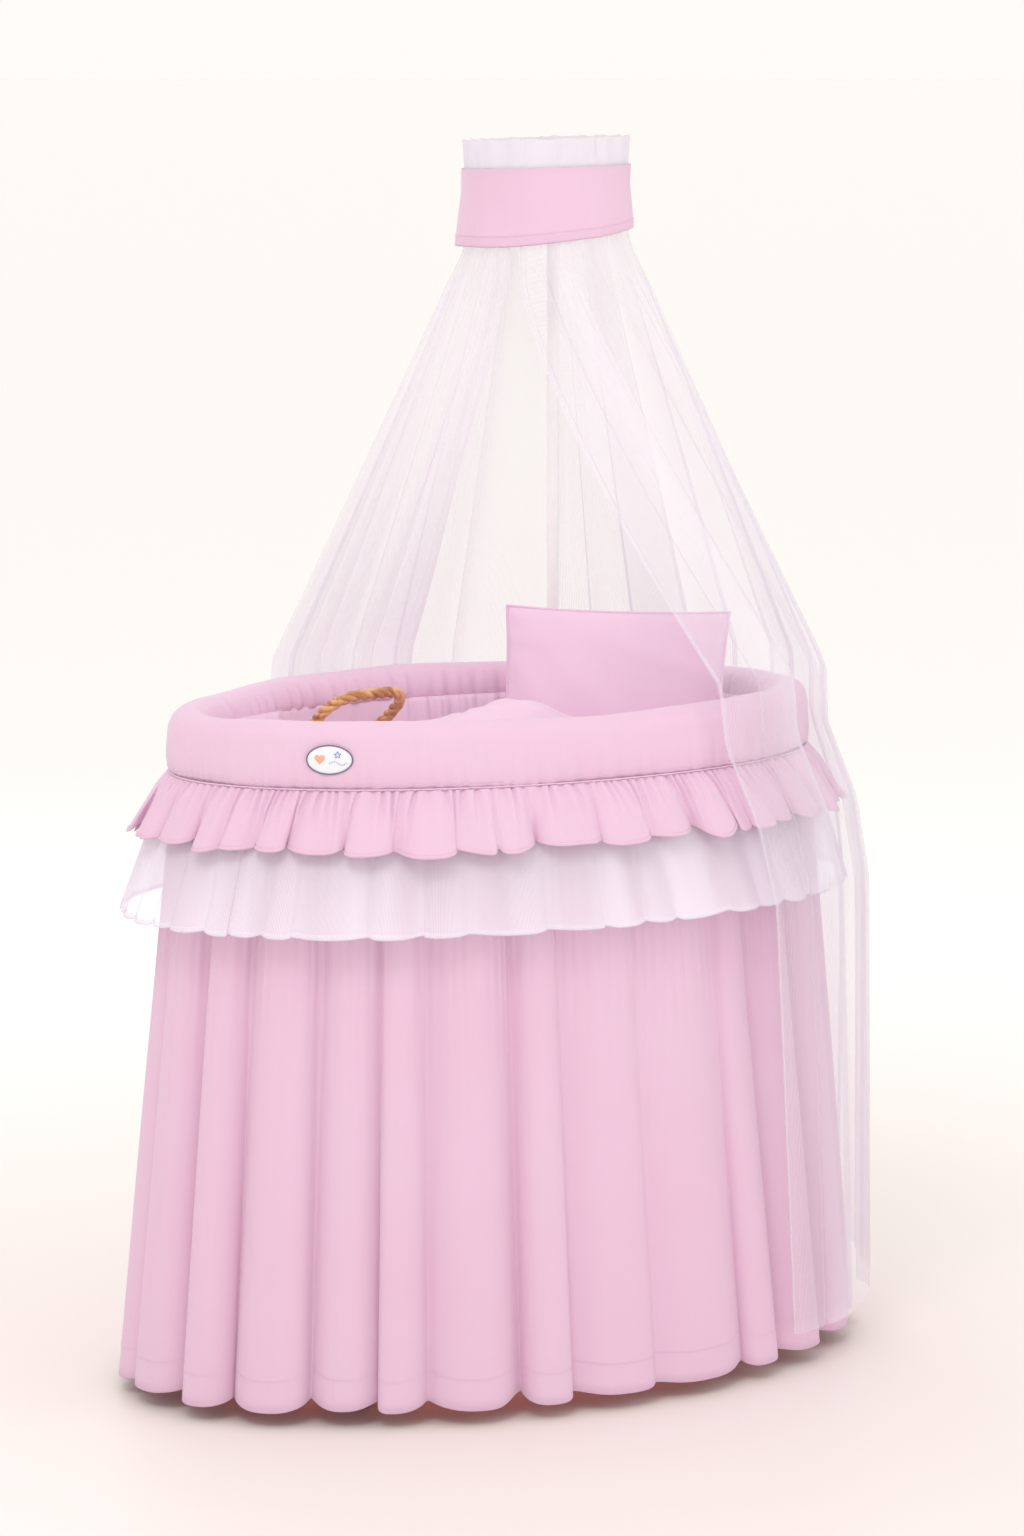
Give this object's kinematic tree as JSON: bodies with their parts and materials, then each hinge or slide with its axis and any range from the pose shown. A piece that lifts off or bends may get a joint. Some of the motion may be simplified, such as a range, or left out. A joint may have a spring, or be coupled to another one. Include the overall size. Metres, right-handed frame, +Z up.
{
  "type": "baby crib",
  "caption": "Oval wicker baby crib on a wheeled wooden stand, with padded rim, ruffles, full-length skirt, bedding and a voile canopy hung from a ring on a pole.",
  "frame": {"origin": "on the floor, under the middle of the crib's whole outline", "axes": "+X towards the head end, where the pillow is; +Y towards the far long side, where the canopy pole stands; +Z up"},
  "size_m": [0.9694, 0.6359, 1.516],
  "materials": {
    "pine": "clear matt lacquer",
    "zinc_steel": "zinc plated",
    "tyre_rubber": "grey soft rubber",
    "wheel_plastic": "moulded, light grey",
    "black_plastic": "moulded, fine grain",
    "white_paint": "white powder coat",
    "wicker": "honey brown cane, clear varnish",
    "pink_cotton": "plain woven pink cotton",
    "white_cotton": "plain woven white cotton",
    "white_tulle": "fine white tulle",
    "voile": "sheer white voile",
    "badge_cloth": "woven cotton patch"
  },
  "bodies": {
    "root": {"leg_foot_near": "pine", "leg_foot_far": "pine", "leg_head_near": "pine", "leg_head_far": "pine", "side_rail_near": "pine", "side_rail_far": "pine", "end_rail_foot": "pine", "end_rail_head": "pine", "stretcher_near": "pine", "stretcher_far": "pine", "shelf_slats": "pine", "cradle_slats": "pine", "basket_stops": "pine", "frame_bolts": "zinc_steel", "slat_screws": "zinc_steel", "castor_stems": "zinc_steel", "pole_bracket_lower": "white_paint", "pole_bracket_upper": "white_paint", "canopy_pole_lower": "white_paint", "canopy_pole_upper": "white_paint", "canopy_ring": "white_paint", "canopy_drape": "voile", "sash_band": "pink_cotton", "header_ruffle": "white_tulle"},
    "castor_foot_near": {"castor_fork_foot_near": "zinc_steel", "castor_axle_foot_near": "zinc_steel"},
    "wheel_foot_near": {"wheel_hub_foot_near": "wheel_plastic", "tyre_foot_near": "tyre_rubber"},
    "brake_foot_near": {"brake_lever_foot_near": "black_plastic"},
    "castor_foot_far": {"castor_fork_foot_far": "zinc_steel", "castor_axle_foot_far": "zinc_steel"},
    "wheel_foot_far": {"wheel_hub_foot_far": "wheel_plastic", "tyre_foot_far": "tyre_rubber"},
    "brake_foot_far": {"brake_lever_foot_far": "black_plastic"},
    "castor_head_near": {"castor_fork_head_near": "zinc_steel", "castor_axle_head_near": "zinc_steel"},
    "wheel_head_near": {"wheel_hub_head_near": "wheel_plastic", "tyre_head_near": "tyre_rubber"},
    "castor_head_far": {"castor_fork_head_far": "zinc_steel", "castor_axle_head_far": "zinc_steel"},
    "wheel_head_far": {"wheel_hub_head_far": "wheel_plastic", "tyre_head_far": "tyre_rubber"},
    "clamp_knob": {"clamp_knob": "black_plastic"},
    "basket": {"wicker_floor": "wicker", "wicker_wall": "wicker", "wicker_border": "wicker", "handle_loops": "wicker", "lining_pad": "pink_cotton", "rim_cover": "pink_cotton", "badge": "badge_cloth", "cotton_ruffle": "pink_cotton", "tulle_ruffle": "white_tulle", "skirt": "pink_cotton", "mattress": "white_cotton", "duvet": "white_cotton", "pillow": "pink_cotton"},
    "handle_near": {"handle_near": "wicker"},
    "handle_far": {"handle_far": "wicker"}
  },
  "joints": [
    {"name": "castor_swivel_foot_near", "type": "hinge", "parent": "root", "child": "castor_foot_near", "pos_m": [-0.25, -0.155, 0.068], "axis": [0, 0, 1], "continuous": true},
    {"name": "wheel_spin_foot_near", "type": "hinge", "parent": "castor_foot_near", "child": "wheel_foot_near", "pos_m": [-0.268, -0.155, 0.03], "axis": [0, 1, 0], "continuous": true},
    {"name": "brake_press_foot_near", "type": "hinge", "parent": "castor_foot_near", "child": "brake_foot_near", "pos_m": [-0.296, -0.155, 0.061], "axis": [0, -1, 0], "range_deg": [0, 18]},
    {"name": "castor_swivel_foot_far", "type": "hinge", "parent": "root", "child": "castor_foot_far", "pos_m": [-0.25, 0.155, 0.068], "axis": [0, 0, 1], "continuous": true},
    {"name": "wheel_spin_foot_far", "type": "hinge", "parent": "castor_foot_far", "child": "wheel_foot_far", "pos_m": [-0.268, 0.155, 0.03], "axis": [0, 1, 0], "continuous": true},
    {"name": "brake_press_foot_far", "type": "hinge", "parent": "castor_foot_far", "child": "brake_foot_far", "pos_m": [-0.296, 0.155, 0.061], "axis": [0, -1, 0], "range_deg": [0, 18]},
    {"name": "castor_swivel_head_near", "type": "hinge", "parent": "root", "child": "castor_head_near", "pos_m": [0.25, -0.155, 0.068], "axis": [0, 0, 1], "continuous": true},
    {"name": "wheel_spin_head_near", "type": "hinge", "parent": "castor_head_near", "child": "wheel_head_near", "pos_m": [0.232, -0.155, 0.03], "axis": [0, 1, 0], "continuous": true},
    {"name": "castor_swivel_head_far", "type": "hinge", "parent": "root", "child": "castor_head_far", "pos_m": [0.25, 0.155, 0.068], "axis": [0, 0, 1], "continuous": true},
    {"name": "wheel_spin_head_far", "type": "hinge", "parent": "castor_head_far", "child": "wheel_head_far", "pos_m": [0.232, 0.155, 0.03], "axis": [0, 1, 0], "continuous": true},
    {"name": "clamp_knob_turn", "type": "hinge", "parent": "root", "child": "clamp_knob", "pos_m": [0.198, 0.24001, 0.165], "axis": [-1, 0, 0], "range_deg": [0, 720]},
    {"name": "basket_lift", "type": "slide", "parent": "root", "child": "basket", "axis": [0, 0, 1], "range_m": [0, 0.1], "deforming": ["canopy_drape"]},
    {"name": "handle_raise_near", "type": "hinge", "parent": "basket", "child": "handle_near", "pos_m": [-0.128, -0.16722, 0.776], "axis": [0.9794, -0.2018, 0], "range_deg": [-4, 72]},
    {"name": "handle_raise_far", "type": "hinge", "parent": "basket", "child": "handle_far", "pos_m": [-0.128, 0.16722, 0.776], "axis": [-0.9794, -0.2018, 0], "range_deg": [-10, 50]}
  ]
}
